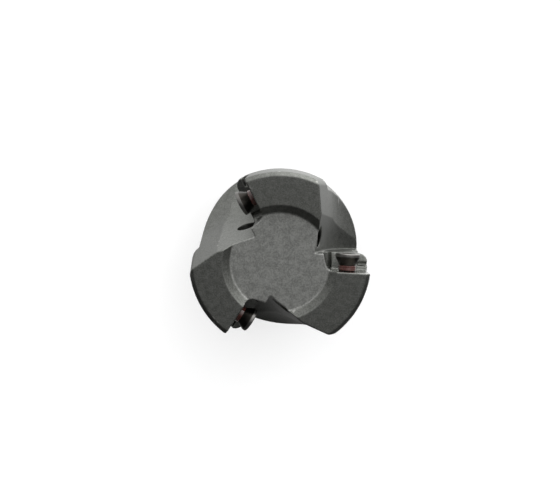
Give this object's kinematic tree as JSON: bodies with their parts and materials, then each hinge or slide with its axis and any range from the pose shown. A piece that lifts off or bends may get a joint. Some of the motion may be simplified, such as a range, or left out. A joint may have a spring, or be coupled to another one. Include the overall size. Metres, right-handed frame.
{
  "type": "indexable face mill",
  "caption": "Face mill body with spaced flutes, empty insert seats, countersunk clamp screws and a cylindrical shank with clamping flats.",
  "frame": {"origin": "centre of the shank's rear end face, on the tool axis", "axes": "+Z along the tool axis, from the shank to the cutting face; +X points from the axis to the first insert seat, whose seat faces +Y"},
  "size_m": [0.0493, 0.0477, 0.1],
  "materials": {
    "body_steel": "fine bead-blasted tool steel with ground seats and shank",
    "black_oxide": "black oxide, slightly oily",
    "thread_lock": "cured red thread-locking compound, glossy"
  },
  "bodies": {
    "cutter": {"cutter_body": "body_steel"},
    "screw_1_travel": {"thread_lock_1": "thread_lock"},
    "screw_1": {"clamp_screw_1": "black_oxide"},
    "screw_2_travel": {"thread_lock_2": "thread_lock"},
    "screw_2": {"clamp_screw_2": "black_oxide"},
    "screw_3_travel": {"thread_lock_3": "thread_lock"},
    "screw_3": {"clamp_screw_3": "black_oxide"}
  },
  "joints": [
    {"name": "screw_1_travel", "type": "slide", "parent": "cutter", "child": "screw_1_travel", "axis": [0, 0.9969, -0.0785], "range_m": [-0.0015, 0.006]},
    {"name": "screw_1_turn", "type": "hinge", "parent": "screw_1_travel", "child": "screw_1", "pos_m": [0.0186, -0.00211, 0.09355], "axis": [0, 0.9969, -0.0785], "range_deg": [-676, 2702]},
    {"name": "screw_2_travel", "type": "slide", "parent": "cutter", "child": "screw_2_travel", "axis": [-0.8634, -0.4985, -0.0785], "range_m": [-0.0015, 0.006]},
    {"name": "screw_2_turn", "type": "hinge", "parent": "screw_2_travel", "child": "screw_2", "pos_m": [-0.00747, 0.01716, 0.09355], "axis": [-0.8634, -0.4985, -0.0785], "range_deg": [-676, 2702]},
    {"name": "screw_3_travel", "type": "slide", "parent": "cutter", "child": "screw_3_travel", "axis": [0.8634, -0.4985, -0.0785], "range_m": [-0.0015, 0.006]},
    {"name": "screw_3_turn", "type": "hinge", "parent": "screw_3_travel", "child": "screw_3", "pos_m": [-0.01113, -0.01505, 0.09355], "axis": [0.8634, -0.4985, -0.0785], "range_deg": [-676, 2702]}
  ],
  "couplings": [
    {"joint": "screw_1_turn", "follows": "screw_1_travel", "rad_per_m": 7854},
    {"joint": "screw_2_turn", "follows": "screw_2_travel", "rad_per_m": 7854},
    {"joint": "screw_3_turn", "follows": "screw_3_travel", "rad_per_m": 7854}
  ]
}
